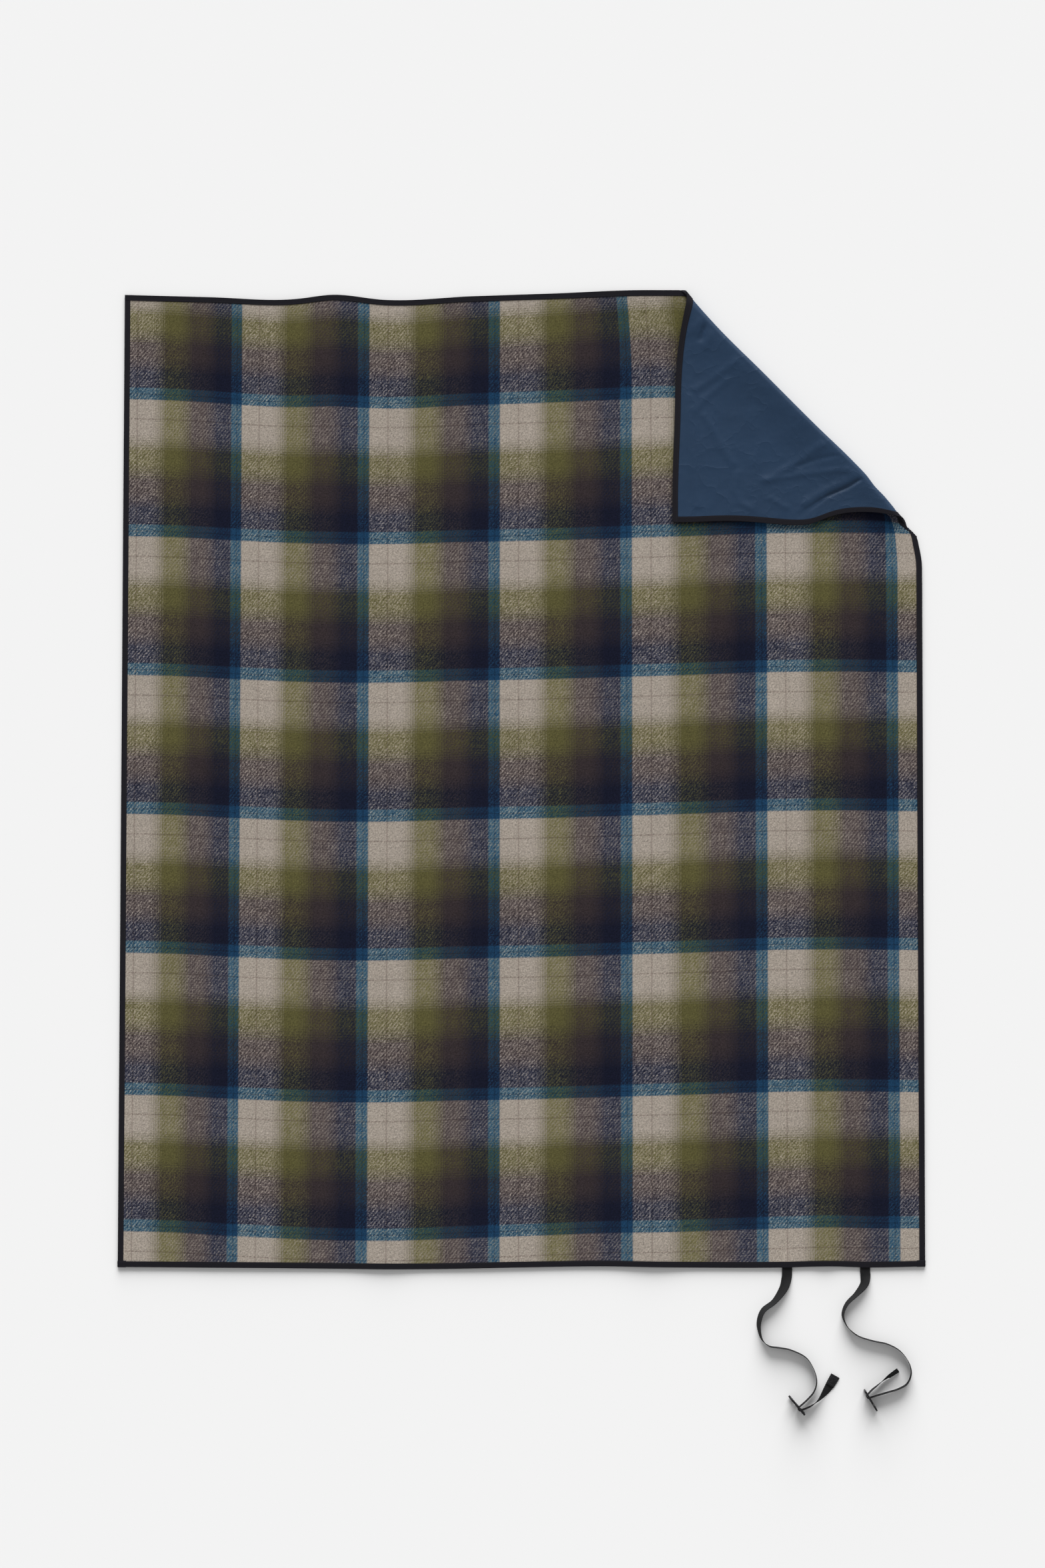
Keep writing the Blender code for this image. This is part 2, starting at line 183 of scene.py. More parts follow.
# Each strap's route: x, y, lean in degrees (0 flat, 90 on edge), and lift off the ground.
STRAPS = {
    "left": {
        "angle": 130.4, "arrives": 137.0, "leaves": 293.0, "exit_x": 0.5015,
        "run": [
            (0.5015, EDGE_Y, 0, 0.0020), (0.5015, -0.9300, 0, 0.0020), (0.5005, -0.9420, 8, 0.0006),
            (0.4945, -0.9610, 35, 0), (0.4770, -0.9850, 62, 0), (0.4560, -1.0020, 64, 0),
            (0.4480, -1.0240, 66, 0), (0.4497, -1.0452, 76, 0), (0.4560, -1.0600, 84, 0),
            (0.4690, -1.0695, 90, 0), (0.4877, -1.0722, 90, 0), (0.5090, -1.0766, 90, 0),
            (0.5360, -1.0900, 90, 0), (0.5506, -1.1106, 90, 0), (0.5569, -1.1340, 90, 0.0004),
            (0.5520, -1.1540, 90, 0.0020), (0.5380, -1.1705, 90, BUCKLE_LIFT),
        ],
        "tail": [
            (0.5390, -1.1849, 90, BUCKLE_LIFT), (0.5490, -1.1795, 86, BUCKLE_LIFT),
            (0.5620, -1.1695, 68, 0.0010), (0.5750, -1.1535, 38, 0), (0.5850, -1.1385, 18, 0),
            (0.5927, -1.1255, 12, 0),
        ],
    },
    "right": {
        "angle": -58.9, "arrives": 280.8, "leaves": 139.8, "exit_x": 0.6488,
        "run": [
            (0.6488, EDGE_Y, 0, 0.0020), (0.6488, -0.9300, 0, 0.0020), (0.6494, -0.9380, 10, 0.0006),
            (0.6465, -0.9530, 40, 0), (0.6320, -0.9710, 66, 0), (0.6140, -0.9890, 74, 0),
            (0.6063, -1.0090, 80, 0), (0.6120, -1.0280, 86, 0), (0.6240, -1.0420, 90, 0),
            (0.6400, -1.0520, 90, 0), (0.6650, -1.0595, 90, 0), (0.6909, -1.0653, 90, 0),
            (0.7140, -1.0780, 90, 0), (0.7300, -1.0985, 90, 0), (0.7352, -1.1194, 90, 0),
            (0.7280, -1.1390, 90, 0), (0.7110, -1.1495, 90, 0.0010), (0.6900, -1.1558, 90, 0.0026),
            (0.6720, -1.1610, 90, BUCKLE_LIFT),
        ],
        "tail": [
            (0.6600, -1.1517, 90, BUCKLE_LIFT), (0.6680, -1.1450, 88, BUCKLE_LIFT),
            (0.6800, -1.1355, 80, 0.0010), (0.6920, -1.1265, 66, 0), (0.7020, -1.1195, 60, 0),
            (0.7104, -1.1140, 58, 0),
        ],
    },
}


# Materials.

def linear(red, green, blue):
    """A display colour, 0 to 255, as linear light."""
    def one(value):
        value /= 255
        return value / 12.92 if value <= 0.04045 else ((value + 0.055) / 1.055) ** 2.4
    return (one(red), one(green), one(blue), 1)


class Shader:
    """A material's nodes, made one call at a time."""

    def __init__(self, name, roughness, **settings):
        self.material = bpy.data.materials.new(name)
        self.material.use_nodes = True
        self.tree = self.material.node_tree
        self.surface = self.tree.nodes["Principled BSDF"]
        self.surface.inputs["Roughness"].default_value = roughness
        for key, value in settings.items():
            self.surface.inputs[key.replace("_", " ")].default_value = value

    def node(self, kind, values=(), output=0, **properties):
        """A node with its inputs linked or set in order. None leaves one alone."""
        made = self.tree.nodes.new("ShaderNode" + kind)
        for key, value in properties.items():
            setattr(made, key, value)
        for socket, value in zip(made.inputs, values):
            if isinstance(value, bpy.types.NodeSocket):
                self.tree.links.new(value, socket)
            elif value is not None:
                socket.default_value = value
        return made.outputs[output]

    def math(self, operation, *values):
        return self.node("Math", values, operation=operation)

    def vector(self, operation, *values):
        return self.node("VectorMath", values, operation=operation)

    def uv(self):
        """The surface's own two coordinates, in metres."""
        split = self.node("SeparateXYZ", [self.node("TexCoord", output=2)]).node
        return split.outputs[0], split.outputs[1]

    def stretched(self, x, y):
        return self.node("CombineXYZ", [x, y, 0.0])

    def noise(self, place, scale, detail=2.0, rough=0.5):
        made = self.node("TexNoise").node
        self.tree.links.new(place, made.inputs["Vector"])
        made.inputs["Scale"].default_value = scale
        made.inputs["Detail"].default_value = detail
        made.inputs["Roughness"].default_value = rough
        return made.outputs[0]

    def wave(self, place, spacing):
        """A sine from -1 to 1, once every spacing."""
        return self.math("SINE", self.math("MULTIPLY", place, 2 * math.pi / spacing))

    def about(self, centre, value, amount):
        """centre plus amount times how far a 0 to 1 value is from its middle."""
        return self.math("MULTIPLY_ADD", self.math("SUBTRACT", value, 0.5), amount, centre)

    def ramp(self, place, stops):
        made = self.node("ValToRGB", [place]).node
        elements = made.color_ramp.elements
        elements[0].position, elements[0].color = stops[0]
        elements[1].position, elements[1].color = stops[-1]
        for position, colour in stops[1:-1]:
            elements.new(position).color = colour
        return made.outputs[0]

    def shade(self, colour, height, depth, strength=1.0):
        self.tree.links.new(colour, self.surface.inputs["Base Color"])
        bump = self.node("Bump").node
        bump.inputs["Strength"].default_value = strength
        bump.inputs["Distance"].default_value = depth
        self.tree.links.new(height, bump.inputs["Height"])
        self.tree.links.new(bump.outputs[0], self.surface.inputs["Normal"])
        return self.material


BEIGE = linear(168, 158, 147)
BEIGE_LINE = linear(112, 97, 90)
OLIVE = linear(91, 87, 53)
BROWN = linear(54, 46, 48)
NAVY = linear(21, 24, 41)
BLUE = linear(27, 61, 91)
BLUE_LINE = linear(20, 39, 60)
# One repeat of the plaid, the same in warp and weft: where, as a share of the repeat, and its yarn.
SETT = [(0.0, BEIGE), (0.120, BEIGE), (0.127, BEIGE_LINE), (0.134, BEIGE), (0.235, BEIGE), (0.355, OLIVE),
        (0.45, OLIVE), (0.575, BROWN), (0.66, BROWN), (0.78, NAVY), (0.893, NAVY), (0.902, BLUE),
        (0.938, BLUE), (0.945, BLUE_LINE), (0.952, BLUE), (0.981, BLUE), (0.990, BEIGE), (1.0, BEIGE)]
# Where one yarn gives way to the next, single yarns of the two alternate.
GIVES_WAY = [(0.22, linear(0, 0, 0)), (0.27, linear(255, 255, 255)), (0.33, linear(255, 255, 255)),
             (0.37, linear(0, 0, 0)), (0.44, linear(0, 0, 0)), (0.49, linear(255, 255, 255)),
             (0.55, linear(255, 255, 255)), (0.60, linear(0, 0, 0))]
YARN_PAIR = 0.0046
REPEAT_X = 0.2514
REPEAT_Y = 0.262
FIRST_BEIGE_X = -0.5390
FIRST_BEIGE_Y = 0.7149
TWILL_SPACING = 0.0054
TWILL_ANGLE = math.radians(50)
STITCH = (0.0011, 0.0024)    # across and along the twill lines
# Laid across the width: how far the weft stripes bow, and how far the warp stripes stray.
WEFT_BOW = [(-0.78, 0.002), (-0.67, 0.0), (-0.53, -0.007), (-0.40, -0.012), (-0.25, -0.013), (-0.12, -0.0095),
            (0.02, -0.007), (0.16, -0.003), (0.30, 0.001), (0.44, 0.006), (0.58, 0.008), (0.78, 0.006)]
WARP_STRAY = [(-0.78, 0.023), (-0.67, 0.0198), (-0.53, 0.0063), (-0.40, 0.0), (-0.30, 0.0), (0.30, 0.0005),
              (0.44, 0.004), (0.58, 0.0025), (0.78, 0.001)]
# Laid up the length: how far the weft stripes sag.
WEFT_SAG = [(-0.93, -0.003), (-0.70, -0.003), (-0.57, -0.006), (-0.43, 0.0), (-0.33, 0.0), (0.93, 0.0)]


def sett_colour(s, place, repeat):
    """The yarn's colour at a place across one set of stripes."""
    share = s.math("FRACT", s.math("DIVIDE", place, repeat))
    alternating = s.math("MULTIPLY", s.ramp(share, GIVES_WAY), s.wave(place, YARN_PAIR))
    return s.ramp(s.math("MULTIPLY_ADD", alternating, 0.020, share), SETT)


def wool_material():
    """Brushed twill: the warp and weft yarns show in uneven specks that lean with the twill."""
    s = Shader("plaid_wool", 0.95, Sheen_Weight=0.012, Sheen_Roughness=0.6, Specular_IOR_Level=0.06)
    x, y = s.uv()
    warp = sett_colour(s, s.math("SUBTRACT", x, FIRST_BEIGE_X), REPEAT_X)
    weft = sett_colour(s, s.math("SUBTRACT", FIRST_BEIGE_Y, y), REPEAT_Y)

    rise = s.math("MULTIPLY_ADD", x, math.sin(TWILL_ANGLE), s.math("MULTIPLY", y, -math.cos(TWILL_ANGLE)))
    run = s.math("MULTIPLY_ADD", x, math.cos(TWILL_ANGLE), s.math("MULTIPLY", y, math.sin(TWILL_ANGLE)))
    strays = s.noise(s.stretched(x, y), 110.0, 2.0, 0.6)
    leaning = s.about(rise, strays, 0.0014)
    twill = s.wave(leaning, TWILL_SPACING)
    stitch = s.stretched(s.math("FLOOR", s.math("DIVIDE", leaning, STITCH[0])),
                         s.math("FLOOR", s.math("DIVIDE", run, STITCH[1])))
    stitches = s.node("TexWhiteNoise", [stitch])
    specks = s.noise(s.stretched(x, y), 620.0, 2.0, 0.7)
    fine, long = 420.0, 30.0
    lengthwise = s.stretched(s.math("MULTIPLY", x, fine), s.math("MULTIPLY", y, long))
    crosswise = s.stretched(s.math("MULTIPLY", x, long), s.math("MULTIPLY", y, fine))
    warp_yarns = s.noise(lengthwise, 1.0, 2.0, 0.6)
    weft_yarns = s.noise(crosswise, 1.0, 2.0, 0.6)
    on_top = s.about(s.about(0.5, stitches, 0.50), specks, 0.75)
    on_top = s.math("ADD", on_top, s.math("MULTIPLY", s.math("SUBTRACT", warp_yarns, weft_yarns), 0.6))
    share = s.node("Clamp", [s.math("MULTIPLY_ADD", twill, 0.15, on_top), 0.08, 0.92])
    rest = s.math("SUBTRACT", 1.0, share)
    cloth = s.vector("MULTIPLY", s.node("Gamma", [warp, share]), s.node("Gamma", [weft, rest]))

    hairs = s.noise(s.stretched(x, y), 340.0, 3.0, 0.75)
    wear = s.noise(s.stretched(x, y), 7.0, 3.0, 0.55)
    tone = s.math("MULTIPLY", s.about(s.about(0.81, hairs, 1.5), stitches, 0.30), s.about(1.0, wear, 0.22))
    # Painted shade: the twill's diagonal lines a little lighter and darker in turn, as their ridges would be
    # lit and shaded.
    tone = s.math("MULTIPLY", tone, s.math("MULTIPLY_ADD", twill, 0.035, 1.0))
    cloth = s.vector("MULTIPLY", cloth, s.node("CombineXYZ", [tone, tone, tone]))
    height = s.math("ADD", s.math("MULTIPLY", twill, 0.12), s.math("ADD", specks, hairs))
    return s.shade(cloth, height, 0.0005, 0.12)


def nylon_material():
    s = Shader("coated_nylon", 0.46, Specular_IOR_Level=0.26)
    x, y = s.uv()
    place = s.stretched(x, y)
    weave = s.math("MULTIPLY", s.wave(x, 0.0008), s.wave(y, 0.0008))
    slubs = s.noise(s.stretched(s.math("MULTIPLY", x, 30.0), s.math("MULTIPLY", y, 900.0)), 1.0, 2.0)
    crumple = s.noise(place, 13.0, 3.0, 0.5)
    soft = s.noise(place, 9.0, 2.0)
    tone = s.math("MULTIPLY", s.about(0.93, slubs, 0.16), s.about(1.0, soft, 0.26))
    tone = s.math("MULTIPLY_ADD", weave, 0.05, tone)
    colour = s.vector("MULTIPLY", linear(28, 52, 78)[:3], s.node("CombineXYZ", [tone, tone, tone]))
    ridges = s.math("POWER", s.math("ABSOLUTE", s.math("SUBTRACT", crumple, 0.5)), 0.6)
    height = s.math("MULTIPLY_ADD", weave, 0.010, s.math("MULTIPLY", ridges, -0.6))
    return s.shade(colour, height, 0.008, 0.42)


def tape_material():
    """Ribbed binding tape, with a row of stitches near its inner edge."""
    s = Shader("ribbed_tape", 0.85, Specular_IOR_Level=0.10)
    along, inset = s.uv()
    ribs = s.wave(along, 0.0011)
    stitch = s.math("MULTIPLY", s.math("GREATER_THAN", s.wave(along, 0.0032), -0.35),
                    s.math("LESS_THAN", s.math("ABSOLUTE", s.math("SUBTRACT", inset, 0.0084)), 0.00035))
    fuzz = s.noise(s.stretched(along, inset), 700.0, 2.0)
    tone = s.math("MULTIPLY_ADD", ribs, 0.10, s.about(1.0, fuzz, 0.5))
    tone = s.math("MULTIPLY_ADD", stitch, 0.75, tone)
    colour = s.vector("MULTIPLY", linear(26, 25, 30)[:3], s.node("CombineXYZ", [tone, tone, tone]))
    height = s.math("ADD", s.math("MULTIPLY", ribs, 0.3), s.math("ADD", fuzz, stitch))
    return s.shade(colour, height, 0.0003, 0.8)


def webbing_material():
    """Herringbone webbing: the ribs run lengthwise and the weave leans one way, then the other."""
    s = Shader("woven_webbing", 0.78, Specular_IOR_Level=0.12)
    along, across = s.uv()
    zigzag = s.math("PINGPONG", across, 0.0032)
    weave = s.wave(s.math("ADD", along, zigzag), 0.0016)
    fuzz = s.noise(s.stretched(along, across), 800.0, 2.0)
    tone = s.math("MULTIPLY_ADD", weave, 0.14, s.about(1.0, fuzz, 0.45))
    colour = s.vector("MULTIPLY", linear(34, 34, 35)[:3], s.node("CombineXYZ", [tone, tone, tone]))
    return s.shade(colour, s.math("ADD", weave, fuzz), 0.00025, 0.8)


def plastic_material():
    s = Shader("moulded_plastic", 0.38, Specular_IOR_Level=0.3)
    place = s.node("TexCoord", output=3)
    grain = s.noise(place, 2600.0, 2.0)
    scuffs = s.noise(place, 160.0, 4.0, 0.7)
    tone = s.math("MULTIPLY", s.about(1.0, grain, 0.25), s.about(1.0, scuffs, 0.55))
    colour = s.vector("MULTIPLY", linear(22, 22, 24)[:3], s.node("CombineXYZ", [tone, tone, tone]))
    rough = s.about(0.40, scuffs, 0.35)
    s.tree.links.new(rough, s.surface.inputs["Roughness"])
    return s.shade(colour, grain, 0.00012, 0.6)


def thread_material():
    s = Shader("sewing_thread", 0.6, Specular_IOR_Level=0.4)
    place = s.node("TexCoord", output=3)
    twist = s.noise(place, 3000.0, 1.0)
    tone = s.about(1.0, twist, 0.8)
    colour = s.vector("MULTIPLY", linear(58, 58, 62)[:3], s.node("CombineXYZ", [tone, tone, tone]))
    return s.shade(colour, twist, 0.0001, 0.8)


def floor_material():
    s = Shader("studio_floor", 0.9, Specular_IOR_Level=0.0)
    s.surface.inputs["Base Color"].default_value = (0.85, 0.85, 0.85, 1)
    return s.material


# Stage, camera and light.

def make_stage():
    """A camera straight overhead, a pale floor, and soft light from beyond the far edge."""
    scene = bpy.context.scene
    scene.view_settings.view_transform = "Standard"
    height, seen = 8.0, 2.960
    camera = bpy.data.objects.new("camera", bpy.data.cameras.new("camera"))
    camera.data.sensor_width = 36
    camera.data.lens = camera.data.sensor_width * height / seen
    camera.location = (0.002, -0.009, height)
    scene.collection.objects.link(camera)
    scene.camera = camera

    floor = bpy.data.objects.new("floor", bpy.data.meshes.new("floor"))
    side = 30.0
    floor.data.from_pydata([(-side, -side, 0), (side, -side, 0), (side, side, 0), (-side, side, 0)], [],
                           [(0, 1, 2, 3)])
    floor.data.materials.append(floor_material())
    floor.location.z = -0.0006
    scene.collection.objects.link(floor)

    sun = bpy.data.objects.new("key_light", bpy.data.lights.new("key_light", "SUN"))
    elevation = math.radians(22)
    on_floor = 1.98
    sun.data.energy = on_floor / math.sin(elevation)
    sun.data.angle = math.radians(46)
    sun.rotation_euler = (-(math.pi / 2 - elevation), 0, 0)
    scene.collection.objects.link(sun)

    world = bpy.data.worlds.new("studio")
    world.use_nodes = True
    background = world.node_tree.nodes["Background"]
    background.inputs["Color"].default_value = (1, 1, 1, 1)
    background.inputs["Strength"].default_value = 0.425
    scene.world = world


# The shape of the cloth.

def smoothstep(x):
    x = np.clip(x, 0, 1)
    return x * x * (3 - 2 * x)


def smooth_through(x, laid, column=1):
    """A smooth curve through laid points, read at x."""
    laid = np.array(laid)
    xs, ys = laid[:, 0], laid[:, column]
    slopes = np.gradient(ys, xs)
    i = np.clip(np.searchsorted(xs, x) - 1, 0, len(xs) - 2)
    width = xs[i + 1] - xs[i]
    p = np.clip((x - xs[i]) / width, 0, 1)
    return ((2 * p ** 3 - 3 * p ** 2 + 1) * ys[i] + (p ** 3 - 2 * p ** 2 + p) * width * slopes[i]
            + (3 * p ** 2 - 2 * p ** 3) * ys[i + 1] + (p ** 3 - p ** 2) * width * slopes[i + 1])


def away_from_line(x, y, laid):
    """How far points are from a laid line."""
    nearest = np.full(np.shape(x), 1e9)
    for (x0, y0), (x1, y1) in zip(laid, laid[1:]):
        run = (x1 - x0) ** 2 + (y1 - y0) ** 2
        p = np.clip(((x - x0) * (x1 - x0) + (y - y0) * (y1 - y0)) / run, 0, 1)
        nearest = np.minimum(nearest, np.hypot(x - x0 - p * (x1 - x0), y - y0 - p * (y1 - y0)))
    return nearest


def ripple_height(s, t):
    """Low folds in the cloth that lies on the ground, none of them under the turned corner."""
    height = np.zeros(np.shape(s))
    for x0, y0, x1, y1, width, top in RIPPLES:
        height += top * np.exp(-(away_from_line(s, t, [(x0, y0), (x1, y1)]) / width) ** 2)
    height += 0.0005 * (1 + np.sin(s * 13 + 2 * np.sin(t * 5)) * np.sin(t * 4.1 + 1.3 * np.sin(s * 6)))
    under_corner = smoothstep((s - 0.24) / 0.05) * smoothstep((t - 0.38) / 0.06)
    room = parting_height(s, t) - MEETING_Z - WOOL_MID - 0.0007
    return room * np.tanh(height / room) * (1 - under_corner)


def parting_height(x, y):
    """How high the parting plane is above a point of the ground."""
    return PARTING[0] - PARTING[1] * (x - FOLD_START[0]) - PARTING[2] * (y - FOLD_START[1])


def wrinkle_height(x, y):
    height = np.zeros(np.shape(x))
    for laid, width, top in WRINKLES:
        height += top * np.exp(-(away_from_line(x, y, laid) / width) ** 2)
    return height


def spread_nudges():
    """Weights of smooth hills, one at each nudged point, that add up to the laid nudges."""
    laid = np.array(NUDGES)
    apart = np.hypot(laid[:, None, 0] - laid[None, :, 0], laid[:, None, 1] - laid[None, :, 1])
    return laid[:, :2], np.linalg.solve(hill(apart), laid[:, 2:])


def hill(distance):
    return np.exp(-(distance / 0.11) ** 2) + 0.02 * np.exp(-(distance / 0.4) ** 2)


NUDGE_POINTS, NUDGE_WEIGHTS = spread_nudges()


def nudge(s, t):
    """How far the turned corner lies from where a straight fold would put it."""
    moved = np.zeros((len(s), 2))
    for (s0, t0), weight in zip(NUDGE_POINTS, NUDGE_WEIGHTS):
        moved += hill(np.hypot(s - s0, t - t0))[:, None] * weight
    return moved


def outline_shift(s, t):
    """The laid-out blanket's edges are a little out of square, and wave."""
    up = (t + HALF_Y) / (2 * HALF_Y)
    left = 0.0135 * up * np.clip(-s / HALF_X, 0, 1)
    right = -0.0085 * up * np.clip(s / HALF_X, 0, 1)
    far = smooth_through(s, FAR_EDGE) * np.clip((t - 0.35) / (HALF_Y - 0.35), 0, 1) ** 2
    near = smooth_through(s, STRAP_EDGE) * np.clip((-t - 0.6) / (HALF_Y - 0.6), 0, 1)
    drawn = smoothstep((s - 0.68) / (HALF_X - 0.68))
    in_x = smooth_through(t, RIGHT_EDGE) * drawn
    in_y = smooth_through(t, RIGHT_EDGE, 2) * drawn
    return np.stack([left + right + in_x, far + near + in_y], axis=1)


def meeting_surface(s, t):
    """Where the surface between wool and nylon lies, for cloth that was cut flat as s and t."""
    from_start = np.stack([s - FOLD_START[0], t - FOLD_START[1]], axis=1)
    u, v = from_start @ ALONG, from_start @ ACROSS
    lip, slip, bend = (smooth_through(u, LIP, column) for column in (1, 2, 3))
    past_turn = v - bend
    arc = np.clip(past_turn / ROLL, -QUARTER, QUARTER)
    past = np.abs(past_turn - arc * ROLL)
    turned = lip + ROLL * (np.cos(arc) - 1) - past
    rolled = FOLD_START + np.outer(u + slip, ALONG) + np.outer(turned, ACROSS)

    # On the ground the cloth gathers towards the turn, from where it lies as it was cut.
    gathered = GATHER - GATHER_DROP * smoothstep((u - 0.42) / 0.18)
    near_turn = smoothstep((past_turn + gathered) / (gathered - 1.6 * ROLL))
    as_cut = np.stack([s, t], axis=1) + outline_shift(s, t)
    ground = as_cut + (rolled - as_cut) * near_turn[:, None]

    # Past the turn it lies back over the blanket, where its edges were laid.
    to_right_edge = (FOLD_LENGTH - u) * ALONG[0] / ACROSS[0] - bend
    to_far_edge = u * -ALONG[1] / ACROSS[1]
    widest = np.clip(np.minimum(to_right_edge, to_far_edge), 0.012, None)
    freed = smoothstep((past_turn - 0.3 * ROLL) / np.minimum(0.08, 0.7 * widest))
    lying = FOLD_START + np.outer(u, ALONG) - np.outer(v, ACROSS) + nudge(s, t)
    corner = rolled + (lying - rolled) * freed[:, None]

    rising = ROLL * (1 + np.sin(arc))
    ground_z = ripple_height(s, t) * (1 - smoothstep((past_turn + 0.05) / 0.04)) + rising
    sunk = (1 + past / SETTLE) * np.exp(-past / SETTLE)
    settled = FLAP_REST + (2 * ROLL - FLAP_REST) * sunk
    creased = wrinkle_height(corner[:, 0], corner[:, 1]) * smoothstep(past / 0.012)
    corner_z = np.where(arc < QUARTER, rising, np.maximum(settled + creased, FLAP_REST - 0.0002))
    is_corner = past_turn > 0
    plan = np.where(is_corner[:, None], corner, ground)
    return np.column_stack([plan, MEETING_Z + np.where(is_corner, corner_z, ground_z)])


def place_cloth(s, t, lift):
    """World points of the cloth at s and t, lifted off the meeting surface towards the plaid."""
    s, t = np.asarray(s, float), np.asarray(t, float)
    step = 0.0004
    along_s = meeting_surface(s + step, t) - meeting_surface(s - step, t)
    along_t = meeting_surface(s, t + step) - meeting_surface(s, t - step)
    normal = np.cross(along_s, along_t)
    normal /= np.linalg.norm(normal, axis=1)[:, None]
    return meeting_surface(s, t) + normal * np.reshape(lift, (-1, 1))


def plaid_coordinates(s, t):
    """Where in the plaid's repeats a point of the cloth is."""
    across = s - smooth_through(s, WARP_STRAY)
    up = t - smooth_through(s, WEFT_BOW) - smooth_through(t, WEFT_SAG)
    return np.column_stack([across, up])


# Making pieces.

def add_piece(name, data, material, slot, *replaced):
    piece = bpy.data.objects.new(name, data)
    bpy.context.scene.collection.objects.link(piece)
    data.materials.append(material)
    if replaced:
        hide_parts(*replaced)
    return piece


def smooth(mesh):
    mesh.shade_smooth()
    return mesh


def set_uv(mesh, per_vertex):
    """Gives each corner of each face its vertex's coordinates."""
    layer = mesh.uv_layers.new(name="surface")
    index = np.zeros(len(mesh.loops), int)
    mesh.loops.foreach_get("vertex_index", index)
    layer.data.foreach_set("uv", np.asarray(per_vertex)[index].astype(np.float32).ravel())


def spaced(low, high, coarse, finer=()):
    """Places from low to high, coarse apart, but finer within the given (from, to, step) spans."""
    marks = [low]
    while marks[-1] < high - 1e-9:
        step = coarse
        for start, end, fine in finer:
            if start <= marks[-1] < end:
                step = fine
        marks.append(min(high, marks[-1] + step))
    return np.array(marks)


def flat_grid(s_marks, t_marks):
    count_s, count_t = len(s_marks), len(t_marks)
    s, t = np.meshgrid(s_marks, t_marks, indexing="ij")
    points = np.column_stack([s.ravel(), t.ravel(), np.zeros(s.size)])
    faces = [(i * count_t + j, (i + 1) * count_t + j, (i + 1) * count_t + j + 1, i * count_t + j + 1)
             for i in range(count_s - 1) for j in range(count_t - 1)]
    return points, faces


def cut_along_fold(mesh, offsets):
    """Adds edges beside the fold line, so that the turn is smooth."""
    shape = bmesh.new()
    shape.from_mesh(mesh)
    across = Vector((*ACROSS, 0))
    start = Vector((*FOLD_START, 0))
    near = [face for face in shape.faces if abs((face.calc_center_median() - start).dot(across)) < 0.08]
    for offset in offsets:
        faces = [face for face in near if face.is_valid]
        parts = set(faces)
        for face in faces:
            parts.update(face.edges)
            parts.update(face.verts)
        cut = bmesh.ops.bisect_plane(shape, geom=list(parts), dist=1e-6, plane_co=start + across * offset,
                                     plane_no=across)
        near = [part for part in cut["geom"] if isinstance(part, bmesh.types.BMFace)]
    shape.to_mesh(mesh)
    shape.free()


def add_cloth(name, lift, thickness, material, slot, *replaced):
    """One layer of cloth, whole, turned over at the fold. Its grid is finer on the corner and its turn."""
    s_marks = spaced(-HALF_X + TUCK, HALF_X - TUCK, GRID,
                     [(0.25, 0.8, CORNER_GRID), (0.66, 0.8, TURNED_END_GRID)])
    t_marks = spaced(-HALF_Y + TUCK, HALF_Y - TUCK, GRID,
                     [(0.39, 0.95, CORNER_GRID), (0.46, 0.60, TURNED_END_GRID)])
    points, faces = flat_grid(s_marks, t_marks)
    mesh = bpy.data.meshes.new(name)
    mesh.from_pydata(points.tolist(), [], faces)
    on_turn = [step * TURN_EDGES for step in range(-9, 10)]
    cut_along_fold(mesh, on_turn + [-0.020, -0.016, 0.016, 0.020, 0.026])
    flat = np.zeros(len(mesh.vertices) * 3)
    mesh.vertices.foreach_get("co", flat)
    flat = flat.reshape(-1, 3)
    s, t = flat[:, 0], flat[:, 1]
    mesh.vertices.foreach_set("co", place_cloth(s, t, np.full(len(s), lift)).ravel())
    set_uv(mesh, plaid_coordinates(s, t))
    cloth = add_piece(name, smooth(mesh), material, slot, *replaced)
    thicken(cloth, thickness)
    return cloth


def thicken(piece, thickness, rounding=0):
    solid = piece.modifiers.new("thickness", "SOLIDIFY")
    solid.thickness = thickness
    solid.offset = 0
    if rounding:
        bevel = piece.modifiers.new("rounding", "BEVEL")
        bevel.width = rounding
        bevel.segments = 3
        bevel.limit_method = "ANGLE"


def hang_on_fold(piece):
    """Bakes the piece's placement into its mesh."""
    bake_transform(piece)


def add_tape(name, edge, marks, thickness, material, *replaced, inset=0.0, face=TAPE_FACE):
    """Binding along an edge. edge(mark, inset) gives the cloth's s and t."""
    columns = np.linspace(inset, face, 7)
    points, coordinates = [], []
    for column in columns:
        s, t = edge(marks, column)
        points.append(place_cloth(s, t, np.full(len(marks), TAPE_MID)))
        coordinates.append(np.column_stack([marks, np.full(len(marks), column)]))
    count = len(marks)
    faces = [(c * count + i, c * count + i + 1, (c + 1) * count + i + 1, (c + 1) * count + i)
             for c in range(len(columns) - 1) for i in range(count - 1)]
    mesh = bpy.data.meshes.new(name)
    mesh.from_pydata(np.concatenate(points).tolist(), [], faces)
    set_uv(mesh, np.concatenate(coordinates))
    tape = add_piece(name, smooth(mesh), material, "tape", *replaced)
    thicken(tape, thickness, 0.0011)
    return tape


